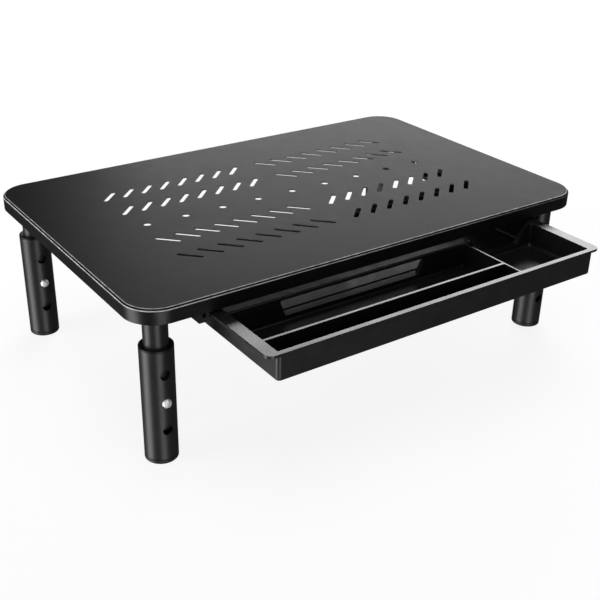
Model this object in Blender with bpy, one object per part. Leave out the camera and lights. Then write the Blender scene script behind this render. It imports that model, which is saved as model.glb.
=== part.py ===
"""Monitor riser stand: pressed-steel top, four telescopic legs and a sliding drawer.

Metres, +Z up, floor at z = 0, +X along the long side, the drawer opens towards -Y.
The origin lies under the middle of the whole object with its drawer partly open.
"""
import math

import bmesh
import bpy
from mathutils import Matrix, Vector

# ---- driving dimensions (metres) ----------------------------------------------
HEIGHT = 0.115                # floor to the top surface, legs at their middle setting
PLATE_LENGTH = 0.370
PLATE_DEPTH = 0.235
PLATE_CORNER = 0.022          # plan radius of the four corners
SHEET = 0.0010                # steel thickness
BEND = 0.0013                 # outer radius of the bend round the edge
INNER_BEND = 0.0005           # inner radius of the same bend
SKIRT = 0.0105                # height of the turned-down edge
FIT = 0.0003                  # gap kept between pieces that touch

DRAWER_OPEN = 0.0612          # how far the drawer stands out at rest
PLATE_Y = DRAWER_OPEN / 2     # middle of the plate, so the whole object is centred

# vents in the top
VENT_SHIFT = -0.001           # the pattern sits slightly forward of the plate's middle
VENT_ROW = 0.030              # distance between rows
SLOT_PITCH = 0.015
SLOT_COUNT = 8                # slots in a row, either side of the middle
SLOT_LENGTH = 0.0185
SLOT_WIDTH = 0.0034
HOLE_PITCH = 0.030
HOLE_COUNT = 9
HOLE_RADIUS = 0.0028
THROUGH = 0.002               # how far a cutter overshoots what it cuts

# legs
LEG_X = 0.1655
LEG_Y = 0.098
TUBE_RADIUS = 0.0079
TUBE_WALL = 0.0012
TUBE_END = 0.0915             # depth of the tube's lower end below the top surface
SLEEVE_RADIUS = 0.01095
SLEEVE_WALL = 0.0015
SLEEVE_TOP = 0.0338           # depth of the sleeve's upper end below the top surface
COLLAR_HEIGHT = 0.0006        # collar of the guide bush, on the sleeve's end
COLLAR_LEDGE = 0.0002         # straight part of the collar under its chamfer
BUSH_LENGTH = 0.009
BUSH_SKIN = 0.0008
COLLAR_BRIM = 0.0006          # flat left at the top of the chamfer
LOCK_DEPTH = 0.070            # the middle hole, below the top surface
HEIGHT_STEP = 0.020
LOCK_HOLE_RADIUS = 0.0034
BUTTON_RADIUS = 0.0031
BUTTON_PROUD = 0.0022         # how far the button stands out of the sleeve
BUTTON_DOME = 0.0016
BUTTON_FLANGE_RADIUS = 0.0039
BUTTON_FLANGE_FACE = 0.0045   # back of the button's flange, from the leg's axis
BUTTON_FLANGE_THICK = 0.0006
FOOT_RIM = 0.003
FOOT_ROUND = 0.001
FOOT_PLUG = 0.0018            # short, so that it stays clear of the guide at the lowest setting
FOOT_PLUG_WALL = 0.0009
GUIDE_RISE = 0.002            # guide ring's lower end above the tube's
GUIDE_LENGTH = 0.007
CLIP_HALF_WIDTH = 0.0025
CLIP_THICK = 0.0005
CLIP_FRONT = -0.0042          # leaf behind the button, from the leg's axis
CLIP_BACK = 0.0058            # leaf against the tube's back wall
CLIP_LOW = -0.006             # lower ends of both leaves, from the button's axis
CLIP_HIGH = 0.020             # where the leaves run into the bend
WELD_NUT_BORE = 0.0033
WELD_NUT_RADIUS = 0.0062
WELD_NUT_HEIGHT = 0.008
PLUG_LENGTH = 0.010
PLUG_STUD_RADIUS = 0.0030
PLUG_STUD_GAP = 0.001         # between the stud's end and the plate
LEG_SIDES = 24
HOLE_SIDES = 12

# drawer
TRAY_HALF = 0.1305            # half the body's width
TRAY_DEPTH = 0.1487
TRAY_RIM_DROP = 0.0122        # top of the rim below the top surface
TRAY_HEIGHT = 0.018
TRAY_FLOOR = 0.0018
FLANGE_HALF = 0.1373
FLANGE_THICK = 0.0018
FLANGE_CORNER = 0.005
FRONT_LIP = 0.0004            # the rim stands this far proud of the front wall
BODY_CORNER = 0.0025
BOTTOM_ROUND = 0.001
POCKET_HALF = 0.1287
FRONT_RIM = 0.0037
REAR_RIM = 0.0086
REAR_OVERHANG = 0.0068
PEN_SLOT = 0.0137
LONG_DIVIDER = 0.0021
CROSS_DIVIDER_X = 0.0625
CROSS_DIVIDER = 0.0014
REAR_DIVIDER_FROM_FRONT = 0.0562
REAR_DIVIDER = 0.0022
WINDOW_HALF_TOP = 0.0588
WINDOW_HALF_BOTTOM = 0.0546
WINDOW_TOP = 0.0018           # below the rim
WINDOW_BOTTOM = 0.0128
NOTCH_HALF_TOP = 0.0288
NOTCH_HALF_BOTTOM = 0.0186
NOTCH_BOTTOM = 0.0134
CRISP_CORNER = 0.0007         # corner radius and floor rounding of the small compartments
CRISP_FOOT = 0.002
SOFT_CORNER = 0.0014          # the same for the compartments with scooped floors
SOFT_FOOT = 0.0046
STOP_FROM_FRONT = 0.0990      # stop lug on the flange, behind the drawer's front
STOP_X = 0.1302               # middle of the stop lug and of the rail's stop tooth
STOP_WIDTH = 0.0022
STOP_DEPTH = 0.003
STOP_HEIGHT = 0.0016
TOOTH_BACK = 0.0025           # stop tooth, behind the rail's front end

# drawer rails
RAIL_OUTER = 0.1450
RAIL_BOTTOM = 0.0175
RAIL_WALL = 0.0024
RAIL_TOP_INNER = 0.1270
RAIL_LIP_INNER = 0.1316
RAIL_RIB_OUTER = 0.1402
RAIL_RIB_INNER = 0.1380
RAIL_CATCH_INNER = 0.1335
RAIL_CATCH_UNDER = 0.0116
RAIL_CATCH_TOP = 0.0098
RAIL_FRONT = 0.0020           # set back of the rail's front end from the plate's edge
RAIL_END_WALL = 0.0024        # closes the channel behind the shut drawer
RAIL_LENGTH = TRAY_DEPTH - RAIL_FRONT + FIT + RAIL_END_WALL
RAIL_FIXINGS = (0.020, 0.128)  # from the rail's front end
FIXING_X = 0.1345
STUD_RADIUS = 0.0015
STUD_LENGTH = 0.0066
NUT_RADIUS = 0.0030
NUT_HEIGHT = 0.0022
OVERLAP = 0.0005              # how far joined shapes run into each other

PLATE_FRONT = PLATE_Y - PLATE_DEPTH / 2
TRAY_FRONT = PLATE_FRONT - DRAWER_OPEN
TRAY_RIM = HEIGHT - TRAY_RIM_DROP
CORNERS = (("front_left", -1, -1), ("front_right", 1, -1),
           ("back_left", -1, 1), ("back_right", 1, 1))


# ---- helpers -----------------------------------------------------------------------
def clear_scene():
    for obj in list(bpy.data.objects):
        bpy.data.objects.remove(obj, do_unlink=True)


def material(name, colour, metallic, roughness):
    mat = bpy.data.materials.new(name)
    mat.use_nodes = True
    shader = mat.node_tree.nodes["Principled BSDF"]
    shader.inputs["Base Color"].default_value = (*colour, 1.0)
    shader.inputs["Metallic"].default_value = metallic
    shader.inputs["Roughness"].default_value = roughness
    mat.diffuse_color = (*colour, 1.0)
    return mat


def empty(name, place, parent=None):
    obj = bpy.data.objects.new(name, None)
    obj.location = place
    obj.parent = parent
    bpy.context.collection.objects.link(obj)
    return obj


def to_object(name, bm, mat, parent, place=(0, 0, 0), smooth=True):
    bmesh.ops.recalc_face_normals(bm, faces=bm.faces)
    mesh = bpy.data.meshes.new(name)
    bm.to_mesh(mesh)
    bm.free()
    if smooth:
        mesh.shade_smooth()
        mesh.set_sharp_from_angle(angle=math.radians(35))
    if mat:
        mesh.materials.append(mat)
    obj = bpy.data.objects.new(name, mesh)
    obj.location = place
    obj.parent = parent
    bpy.context.collection.objects.link(obj)
    return obj


def rounded_outline(x0, x1, y0, y1, radius, steps):
    """Counter-clockwise outline of a rectangle with round corners."""
    points = []
    for cx, cy, start in ((x1 - radius, y1 - radius, 0), (x0 + radius, y1 - radius, 90),
                          (x0 + radius, y0 + radius, 180), (x1 - radius, y0 + radius, 270)):
        for i in range(steps + 1):
            angle = math.radians(start + 90 * i / steps)
            points.append((cx + radius * math.cos(angle), cy + radius * math.sin(angle)))
    return points


def stack(levels):
    """Solid skinned over outlines of equal point count, each given with its height."""
    bm = bmesh.new()
    rings = [[bm.verts.new((x, y, z)) for x, y in outline] for outline, z in levels]
    count = len(rings[0])
    for low, high in zip(rings, rings[1:]):
        for i in range(count):
            j = (i + 1) % count
            bm.faces.new((low[i], low[j], high[j], high[i]))
    bm.faces.new(rings[0])
    bm.faces.new(rings[-1])
    return bm


def prism(outline, z0, z1):
    return stack([(outline, z0), (outline, z1)])


def extruded(face, shift):
    """Push a flat outline of 3-D points along a vector."""
    bm = bmesh.new()
    start = bm.faces.new([bm.verts.new(point) for point in face])
    moved = bmesh.ops.extrude_face_region(bm, geom=[start])["geom"]
    bmesh.ops.translate(bm, vec=shift,
                        verts=[v for v in moved if isinstance(v, bmesh.types.BMVert)])
    return bm


def turned(profile, sides=LEG_SIDES, closed=True):
    """Spin a profile of (radius, height) points round the Z axis."""
    bm = bmesh.new()
    verts = [bm.verts.new((r, 0, z)) for r, z in profile]
    edges = [bm.edges.new(pair) for pair in zip(verts, verts[1:])]
    if closed:
        edges.append(bm.edges.new((verts[-1], verts[0])))
    bmesh.ops.spin(bm, geom=verts + edges, cent=(0, 0, 0), axis=(0, 0, 1),
                   angle=2 * math.pi, steps=sides, use_duplicate=False)
    bmesh.ops.remove_doubles(bm, verts=bm.verts, dist=1e-6)
    return bm


def along_y(bm):
    """Lay a piece turned round Z down so that its +Z end points to -Y."""
    bmesh.ops.rotate(bm, verts=bm.verts, cent=(0, 0, 0),
                     matrix=Matrix.Rotation(math.radians(90), 3, "X"))
    return bm


def arc(cx, cz, radius, start, end, steps):
    """Points of (radius, height) round a centre, for turned profiles."""
    return [(cx + radius * math.cos(math.radians(start + (end - start) * i / steps)),
             cz + radius * math.sin(math.radians(start + (end - start) * i / steps)))
            for i in range(steps + 1)]


def cutter(name, bm, parent, place=(0, 0, 0)):
    obj = to_object(name, bm, None, parent, place, smooth=False)
    obj.hide_render = True
    obj.display_type = "WIRE"
    return obj


def boolean(obj, tool, operation):
    mod = obj.modifiers.new(tool.name, "BOOLEAN")
    mod.operation = operation
    mod.solver = "EXACT"
    mod.object = tool


def cut(obj, tool):
    boolean(obj, tool, "DIFFERENCE")


def join(obj, tool):
    boolean(obj, tool, "UNION")


def block(x0, x1, y0, y1, z0, z1):
    return prism([(x0, y0), (x1, y0), (x1, y1), (x0, y1)], z0, z1)


# ---- top plate ------------------------------------------------------------------------
def plate_level(inset, depth, steps=8):
    x = PLATE_LENGTH / 2 - inset
    y = PLATE_DEPTH / 2 - inset
    outline = rounded_outline(-x, x, -y, y, PLATE_CORNER - inset, steps)
    return outline, HEIGHT - depth


def bend_levels(inset, depth, radius, steps=3):
    """Levels round the bend, from the skirt's face up to the flat."""
    levels = []
    for i in range(steps + 1):
        angle = math.radians(90 * i / steps)
        levels.append(plate_level(inset + radius * (1 - math.cos(angle)),
                                  depth + radius * (1 - math.sin(angle))))
    return levels


def slot_outline(steps):
    """Outline of one slot lying along X: two half-circles joined by straight sides."""
    half = (SLOT_LENGTH - SLOT_WIDTH) / 2
    radius = SLOT_WIDTH / 2
    points = []
    for end, start in ((half, -90), (-half, 90)):
        for i in range(steps + 1):
            angle = math.radians(start + 180 * i / steps)
            points.append((end + radius * math.cos(angle), radius * math.sin(angle)))
    return points


def vent_cutters():
    """Every slot and round vent as one cutter of separate prisms."""
    bm = bmesh.new()
    top, bottom = HEIGHT + THROUGH, HEIGHT - SHEET - THROUGH

    def add(outline):
        low = [bm.verts.new((x, y, bottom)) for x, y in outline]
        high = [bm.verts.new((x, y, top)) for x, y in outline]
        bm.faces.new(low[::-1])
        bm.faces.new(high)
        for i in range(len(outline)):
            j = (i + 1) % len(outline)
            bm.faces.new((low[i], low[j], high[j], high[i]))

    slot = slot_outline(4)
    for side in (-1, 1):
        for column in range(1, SLOT_COUNT + 1):
            for row in (-2, -1, 1, 2):
                lean = math.radians(45 if side * row < 0 else -45)
                cx = side * column * SLOT_PITCH
                cy = VENT_SHIFT + row * VENT_ROW
                add([(cx + u * math.cos(lean) - v * math.sin(lean),
                      cy + u * math.sin(lean) + v * math.cos(lean)) for u, v in slot])
    for i in range(HOLE_COUNT):
        cx = (i - (HOLE_COUNT - 1) / 2) * HOLE_PITCH
        turns = [2 * math.pi * k / 16 for k in range(16)]
        add([(cx + HOLE_RADIUS * math.cos(a), VENT_SHIFT + HOLE_RADIUS * math.sin(a))
             for a in turns])
    return bm


def make_top_plate(mat, parent):
    outer = [plate_level(0, SKIRT)] + bend_levels(0, 0, BEND)
    inner = [plate_level(SHEET, SKIRT)] + bend_levels(SHEET, SHEET, INNER_BEND, 2)
    bm = bmesh.new()
    rings = [[bm.verts.new((x, y, z)) for x, y in outline] for outline, z in outer]
    cores = [[bm.verts.new((x, y, z)) for x, y in outline] for outline, z in inner]
    count = len(rings[0])
    bridges = list(zip(rings, rings[1:])) + list(zip(cores, cores[1:])) + [(rings[0], cores[0])]
    for low, high in bridges:
        for i in range(count):
            j = (i + 1) % count
            bm.faces.new((low[i], low[j], high[j], high[i]))
    bm.faces.new(rings[-1])
    bm.faces.new(cores[-1])
    plate = to_object("top_plate", bm, mat, parent)
    cut(plate, cutter("vent_cutters", vent_cutters(), parent))
    return plate


# ---- legs --------------------------------------------------------------------------------
def lock_hole(name, near, far, height, parent):
    """Cutter for a snap-button hole through one wall, between two distances from the axis."""
    bm = along_y(turned([(0, near), (LOCK_HOLE_RADIUS, near), (LOCK_HOLE_RADIUS, far), (0, far)],
                        HOLE_SIDES, closed=False))
    return cutter(name, bm, parent, (0, 0, height))


def leg_tube(name, mats, parent):
    bore = TUBE_RADIUS - TUBE_WALL
    top, end = HEIGHT - SHEET - FIT, HEIGHT - TUBE_END
    bm = turned([(bore, end), (TUBE_RADIUS, end), (TUBE_RADIUS, top), (bore, top)])
    tube = to_object("leg_tube_" + name, bm, mats["powder_steel"], parent)
    cut(tube, lock_hole("tube_hole_" + name, 0, TUBE_RADIUS + THROUGH,
                        HEIGHT - LOCK_DEPTH, parent))


def leg_sleeve(name, mats, parent):
    bore = SLEEVE_RADIUS - SLEEVE_WALL
    top, end = HEIGHT - SLEEVE_TOP, FOOT_RIM + FIT
    bm = turned([(bore, end), (SLEEVE_RADIUS, end), (SLEEVE_RADIUS, top), (bore, top)])
    sleeve = to_object("leg_sleeve_" + name, bm, mats["powder_steel"], parent)
    for place, step in (("lower", -1), ("middle", 0), ("upper", 1)):
        cut(sleeve, lock_hole(f"sleeve_hole_{name}_{place}", 0, SLEEVE_RADIUS + THROUGH,
                              HEIGHT - LOCK_DEPTH + step * HEIGHT_STEP, parent))


def leg_bush(name, mats, parent):
    """Guide bush pressed into the sleeve's mouth, with a chamfered collar on top."""
    bore = TUBE_RADIUS + FIT
    skin = bore + BUSH_SKIN
    seat = HEIGHT - SLEEVE_TOP + FIT
    top = seat + COLLAR_HEIGHT
    profile = [(bore, seat - BUSH_LENGTH), (skin, seat - BUSH_LENGTH), (skin, seat),
               (SLEEVE_RADIUS, seat), (SLEEVE_RADIUS, seat + COLLAR_LEDGE),
               (bore + COLLAR_BRIM, top), (bore, top)]
    to_object("leg_bush_" + name, turned(profile), mats["black_plastic"], parent)


def tube_guide(name, mats, parent):
    """Ring fixed on the tube's lower end, which keeps it centred in the sleeve."""
    bore = TUBE_RADIUS + FIT
    skin = SLEEVE_RADIUS - SLEEVE_WALL - FIT
    low = HEIGHT - TUBE_END + GUIDE_RISE
    high = low + GUIDE_LENGTH
    ring = turned([(bore, low), (skin, low), (skin, high), (bore, high)])
    to_object("tube_guide_" + name, ring, mats["black_plastic"], parent)


def foot_cap(name, mats, parent):
    skin = SLEEVE_RADIUS - SLEEVE_WALL - FIT
    rounding = arc(SLEEVE_RADIUS - FOOT_ROUND, FOOT_ROUND, FOOT_ROUND, -90, 0, 3)
    core = skin - FOOT_PLUG_WALL
    profile = [(0, 0)] + rounding + [(SLEEVE_RADIUS, FOOT_RIM), (skin, FOOT_RIM),
                                     (skin, FOOT_RIM + FOOT_PLUG),
                                     (core, FOOT_RIM + FOOT_PLUG), (core, FOOT_RIM),
                                     (0, FOOT_RIM)]
    bm = turned(profile, closed=False)
    to_object("foot_cap_" + name, bm, mats["foot_plastic"], parent)


def snap_button(name, mats, parent):
    """Domed button on a flange; local -Y is outwards, origin on the leg's axis."""
    shoulder = SLEEVE_RADIUS + BUTTON_PROUD - BUTTON_DOME
    rounding = [(BUTTON_RADIUS * math.cos(a), shoulder + BUTTON_DOME * math.sin(a))
                for a in (math.radians(22.5 * i) for i in range(5))]
    back = BUTTON_FLANGE_FACE
    front = back + BUTTON_FLANGE_THICK
    profile = [(0, back), (BUTTON_FLANGE_RADIUS, back), (BUTTON_FLANGE_RADIUS, front),
               (BUTTON_RADIUS, front)]
    bm = along_y(turned(profile + rounding, 16, closed=False))
    to_object("snap_button_" + name, bm, mats["zinc_steel"], parent)


def spring_clip(name, mats, parent):
    """Hairpin leaf spring in the tube: one leaf behind the button, one on the back wall."""
    middle = (CLIP_FRONT + CLIP_BACK) / 2
    reach = (CLIP_BACK - CLIP_FRONT) / 2
    bore = reach - CLIP_THICK
    turns = [math.radians(30 * i) for i in range(1, 6)]
    outline = [(CLIP_FRONT, CLIP_LOW), (CLIP_FRONT, CLIP_HIGH)]
    outline += [(middle - reach * math.cos(a), CLIP_HIGH + reach * math.sin(a)) for a in turns]
    outline += [(CLIP_BACK, CLIP_HIGH), (CLIP_BACK, CLIP_LOW)]
    outline += [(CLIP_BACK - CLIP_THICK, CLIP_LOW), (CLIP_BACK - CLIP_THICK, CLIP_HIGH)]
    outline += [(middle + bore * math.cos(a), CLIP_HIGH + bore * math.sin(a)) for a in turns]
    outline += [(CLIP_FRONT + CLIP_THICK, CLIP_HIGH), (CLIP_FRONT + CLIP_THICK, CLIP_LOW)]
    face = [(-CLIP_HALF_WIDTH, y, z) for y, z in outline]
    bm = extruded(face, (2 * CLIP_HALF_WIDTH, 0, 0))
    place = (0, 0, HEIGHT - LOCK_DEPTH)
    to_object("spring_clip_" + name, bm, mats["zinc_steel"], parent, place, smooth=False)


def weld_nut(name, mats, parent):
    """Round nut welded under the plate, inside the tube's upper end."""
    top = HEIGHT - SHEET - FIT
    low = top - WELD_NUT_HEIGHT
    profile = [(WELD_NUT_BORE, low), (WELD_NUT_RADIUS, low), (WELD_NUT_RADIUS, top),
               (WELD_NUT_BORE, top)]
    to_object("weld_nut_" + name, turned(profile, 16), mats["zinc_steel"], parent)


def leg_plug(name, mats, parent):
    """Plug fixed in the tube, with the stud that screws into the weld nut."""
    top = HEIGHT - SHEET - FIT
    radius = TUBE_RADIUS - TUBE_WALL - FIT
    shoulder = top - WELD_NUT_HEIGHT - FIT
    tip = top - PLUG_STUD_GAP
    profile = [(0, shoulder - PLUG_LENGTH), (radius, shoulder - PLUG_LENGTH), (radius, shoulder),
               (PLUG_STUD_RADIUS, shoulder), (PLUG_STUD_RADIUS, tip), (0, tip)]
    to_object("leg_plug_" + name, turned(profile, 16, closed=False), mats["zinc_steel"], parent)


def make_leg(name, sx, sy, mats, root):
    axis = Vector((sx * LEG_X, PLATE_Y + sy * LEG_Y, 0))
    fixed = empty("leg_axis_" + name, axis, root)
    sliding = empty("height_axis_" + name, axis, root)
    press = empty("button_axis_" + name, axis + Vector((0, 0, HEIGHT - LOCK_DEPTH)), root)
    leg_tube(name, mats, fixed)
    tube_guide(name, mats, fixed)
    weld_nut(name, mats, fixed)
    leg_plug(name, mats, fixed)
    spring_clip(name, mats, fixed)
    leg_sleeve(name, mats, sliding)
    leg_bush(name, mats, sliding)
    foot_cap(name, mats, sliding)
    snap_button(name, mats, press)


# ---- drawer rails -----------------------------------------------------------------------------
def stop_sides(side):
    return side * STOP_X - STOP_WIDTH / 2, side * STOP_X + STOP_WIDTH / 2


def rail_outline():
    """Cross-section of the left-hand rail as (distance from the middle, depth from the top)."""
    seat = TRAY_RIM_DROP + FLANGE_THICK + FIT
    top = SHEET + FIT
    under = top + RAIL_WALL
    wall = RAIL_OUTER - RAIL_WALL
    return [(RAIL_OUTER, RAIL_BOTTOM), (RAIL_OUTER, top), (RAIL_TOP_INNER, top),
            (RAIL_TOP_INNER, under), (wall, under), (wall, seat), (RAIL_RIB_OUTER, seat),
            (RAIL_RIB_OUTER, RAIL_CATCH_TOP), (RAIL_CATCH_INNER, RAIL_CATCH_TOP),
            (RAIL_CATCH_INNER, RAIL_CATCH_UNDER), (RAIL_RIB_INNER, RAIL_CATCH_UNDER),
            (RAIL_RIB_INNER, seat), (RAIL_LIP_INNER, seat), (RAIL_LIP_INNER, RAIL_BOTTOM)]


def make_rail(name, side, mats, parent):
    start = PLATE_FRONT + RAIL_FRONT
    top = HEIGHT - SHEET - FIT
    section = [(side * u, start, HEIGHT - d) for u, d in rail_outline()]
    bm = extruded(section, (0, RAIL_LENGTH, 0))
    rail = to_object("rail_" + name, bm, mats["rail_plastic"], parent, smooth=False)
    end = start + RAIL_LENGTH
    seat = HEIGHT - TRAY_RIM_DROP - FLANGE_THICK - FIT
    x0, x1 = sorted((side * RAIL_LIP_INNER, side * (RAIL_RIB_OUTER - OVERLAP)))
    wall = block(x0, x1, end - RAIL_END_WALL, end, seat - OVERLAP, HEIGHT - RAIL_CATCH_TOP)
    join(rail, cutter("rail_end_" + name, wall, parent))
    x0, x1 = stop_sides(side)
    tooth = block(x0, x1, start + TOOTH_BACK, start + TOOTH_BACK + STOP_DEPTH,
                  TRAY_RIM + FIT, top - RAIL_WALL + OVERLAP)
    join(rail, cutter("rail_stop_" + name, tooth, parent))
    for place, reach in (("front", RAIL_FIXINGS[0]), ("rear", RAIL_FIXINGS[1])):
        make_fixing(f"{name}_{place}", rail, (side * FIXING_X, start + reach, 0), top, mats, parent)


def make_fixing(name, rail, spot, top, mats, parent):
    """Stud welded under the plate, its hole through the rail, and the hexagon nut on it."""
    bore = STUD_RADIUS + FIT
    low = top - RAIL_WALL - THROUGH
    hole = turned([(0, low), (bore, low), (bore, top + OVERLAP), (0, top + OVERLAP)],
                  HOLE_SIDES, closed=False)
    cut(rail, cutter("rail_hole_" + name, hole, parent, spot))
    tip = top - STUD_LENGTH
    stud = turned([(0, tip), (STUD_RADIUS, tip), (STUD_RADIUS, top), (0, top)],
                  HOLE_SIDES, closed=False)
    to_object("rail_stud_" + name, stud, mats["zinc_steel"], parent, spot)
    seat = top - RAIL_WALL - FIT
    nut = turned([(bore, seat - NUT_HEIGHT), (NUT_RADIUS, seat - NUT_HEIGHT),
                  (NUT_RADIUS, seat), (bore, seat)], 6)
    to_object("rail_nut_" + name, nut, mats["zinc_steel"], parent, spot, smooth=False)


# ---- drawer --------------------------------------------------------------------------------------
def pocket(x0, x1, y0, y1, radius, foot):
    """Cutter for one compartment: leaning walls and a rounded floor edge of width foot."""
    floor = TRAY_RIM - TRAY_HEIGHT + TRAY_FLOOR
    levels = []
    rim = TRAY_HEIGHT - TRAY_FLOOR
    for inset, rise in ((foot, 0), (foot * 0.55, foot * 0.2), (foot * 0.33, foot * 0.6),
                        (0, rim), (0, rim + THROUGH)):
        corner = radius - inset * 0.2
        outline = rounded_outline(x0 + inset, x1 - inset, y0 + inset, y1 - inset, corner, 3)
        levels.append((outline, floor + rise))
    return stack(levels)


def trapezoid(centre, half_top, half_bottom, z_top, z_bottom, y0, y1):
    """Shape with a trapezoid face towards -Y."""
    face = [(centre - half_bottom, y0, z_bottom), (centre + half_bottom, y0, z_bottom),
            (centre + half_top, y0, z_top), (centre - half_top, y0, z_top)]
    return extruded(face, (0, y1 - y0, 0))


def tray_body():
    low = TRAY_RIM - TRAY_HEIGHT
    under = TRAY_RIM - FLANGE_THICK
    front = TRAY_FRONT + FRONT_LIP
    rear = TRAY_FRONT + TRAY_DEPTH - REAR_OVERHANG

    def body(inset):
        return rounded_outline(-TRAY_HALF + inset, TRAY_HALF - inset, front + inset,
                               rear - inset, BODY_CORNER - inset, 4)

    flange = rounded_outline(-FLANGE_HALF, FLANGE_HALF, TRAY_FRONT,
                             TRAY_FRONT + TRAY_DEPTH, FLANGE_CORNER, 4)
    return stack([(body(BOTTOM_ROUND), low), (body(BOTTOM_ROUND * 0.3), low + BOTTOM_ROUND * 0.3),
                  (body(0), low + BOTTOM_ROUND), (body(0), under), (flange, under),
                  (flange, TRAY_RIM)])


def make_tray(mats, parent):
    tray = to_object("drawer_tray", tray_body(), mats["tray_plastic"], parent)
    lug_front = TRAY_FRONT + STOP_FROM_FRONT
    for name, side in (("left", -1), ("right", 1)):
        x0, x1 = stop_sides(side)
        lug = block(x0, x1, lug_front, lug_front + STOP_DEPTH,
                    TRAY_RIM - FLANGE_THICK / 2, TRAY_RIM + STOP_HEIGHT)
        join(tray, cutter("stop_lug_" + name, lug, parent))
    inside_front = TRAY_FRONT + FRONT_RIM
    pen_rear = inside_front + PEN_SLOT
    main_front = pen_rear + LONG_DIVIDER
    main_rear = TRAY_FRONT + REAR_DIVIDER_FROM_FRONT
    back_front = main_rear + REAR_DIVIDER
    back_rear = TRAY_FRONT + TRAY_DEPTH - REAR_RIM
    left_end = CROSS_DIVIDER_X - CROSS_DIVIDER / 2
    right_start = CROSS_DIVIDER_X + CROSS_DIVIDER / 2
    crisp = (CRISP_CORNER, CRISP_FOOT)
    soft = (SOFT_CORNER, SOFT_FOOT)
    pockets = {
        "pen_slot": (-POCKET_HALF, left_end, inside_front, pen_rear, *crisp),
        "middle_pocket": (-POCKET_HALF, left_end, main_front, main_rear, *crisp),
        "rear_pocket": (-POCKET_HALF, POCKET_HALF, back_front, back_rear, *soft),
        "side_pocket": (right_start, POCKET_HALF, inside_front, main_rear, *soft),
    }
    for name, size in pockets.items():
        cut(tray, cutter(name, pocket(*size), parent))
    y0, y1 = main_rear - THROUGH, back_front + THROUGH
    window = trapezoid((left_end - POCKET_HALF) / 2, WINDOW_HALF_TOP, WINDOW_HALF_BOTTOM,
                       TRAY_RIM - WINDOW_TOP, TRAY_RIM - WINDOW_BOTTOM, y0, y1)
    cut(tray, cutter("divider_window", window, parent))
    notch = trapezoid((right_start + POCKET_HALF) / 2, NOTCH_HALF_TOP, NOTCH_HALF_BOTTOM,
                      TRAY_RIM + THROUGH, TRAY_RIM - NOTCH_BOTTOM, y0, y1)
    cut(tray, cutter("divider_notch", notch, parent))


# ---- assembly -------------------------------------------------------------------------------------
def main():
    clear_scene()
    mats = {
        "powder_steel": material("powder_coated_steel", (0.022, 0.022, 0.024), 0.0, 0.42),
        "black_plastic": material("black_plastic", (0.012, 0.012, 0.013), 0.0, 0.45),
        "foot_plastic": material("foot_plastic", (0.015, 0.015, 0.016), 0.0, 0.55),
        "tray_plastic": material("tray_plastic", (0.018, 0.018, 0.019), 0.0, 0.38),
        "rail_plastic": material("rail_plastic", (0.016, 0.016, 0.017), 0.0, 0.5),
        "zinc_steel": material("zinc_plated_steel", (0.78, 0.79, 0.80), 1.0, 0.28),
    }
    root = empty("stand", (0, 0, 0))
    plate_middle = empty("plate_middle", (0, PLATE_Y, 0), root)
    make_top_plate(mats["powder_steel"], plate_middle)
    for name, sx, sy in CORNERS:
        make_leg(name, sx, sy, mats, root)
    rails = empty("rails", (0, 0, 0), root)
    make_rail("left", -1, mats, rails)
    make_rail("right", 1, mats, rails)
    slide = empty("drawer_slide_axis", (0, 0, 0), root)
    make_tray(mats, slide)


main()
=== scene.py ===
"""Looks of the monitor riser stand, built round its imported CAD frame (metres, +Z up)."""
import math

import bmesh
import bpy
from mathutils import Matrix, Vector


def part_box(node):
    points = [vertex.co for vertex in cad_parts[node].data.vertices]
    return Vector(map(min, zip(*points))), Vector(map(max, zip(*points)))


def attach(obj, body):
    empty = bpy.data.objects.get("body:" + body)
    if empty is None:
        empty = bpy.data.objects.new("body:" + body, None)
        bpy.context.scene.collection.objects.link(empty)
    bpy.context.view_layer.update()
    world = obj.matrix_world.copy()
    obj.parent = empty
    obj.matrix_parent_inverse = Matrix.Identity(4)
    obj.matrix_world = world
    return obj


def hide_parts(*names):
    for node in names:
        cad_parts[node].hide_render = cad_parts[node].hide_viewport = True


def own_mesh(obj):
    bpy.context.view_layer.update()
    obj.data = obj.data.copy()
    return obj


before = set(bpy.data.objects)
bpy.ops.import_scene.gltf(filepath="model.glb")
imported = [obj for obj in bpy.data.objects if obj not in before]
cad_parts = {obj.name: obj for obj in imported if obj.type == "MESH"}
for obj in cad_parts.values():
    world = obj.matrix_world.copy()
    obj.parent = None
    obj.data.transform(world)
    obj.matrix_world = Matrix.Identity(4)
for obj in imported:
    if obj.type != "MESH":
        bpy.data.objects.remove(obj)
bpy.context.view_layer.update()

CORNERS = ("front_left", "front_right", "back_left", "back_right")

# ---- sizes read from the frame -----------------------------------------------------------------
plate_low, plate_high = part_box("top_plate")
tray_low, tray_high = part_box("drawer_tray")
TOP = plate_high.z
PLATE_Y = (plate_low.y + plate_high.y) / 2
HALF_LENGTH = plate_high.x
HALF_DEPTH = (plate_high.y - plate_low.y) / 2
SKIRT = plate_high.z - plate_low.z
STOP_HEIGHT = 0.0016          # the drawer's stop lugs stand this far above its rim
RIM = tray_high.z - STOP_HEIGHT

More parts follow.
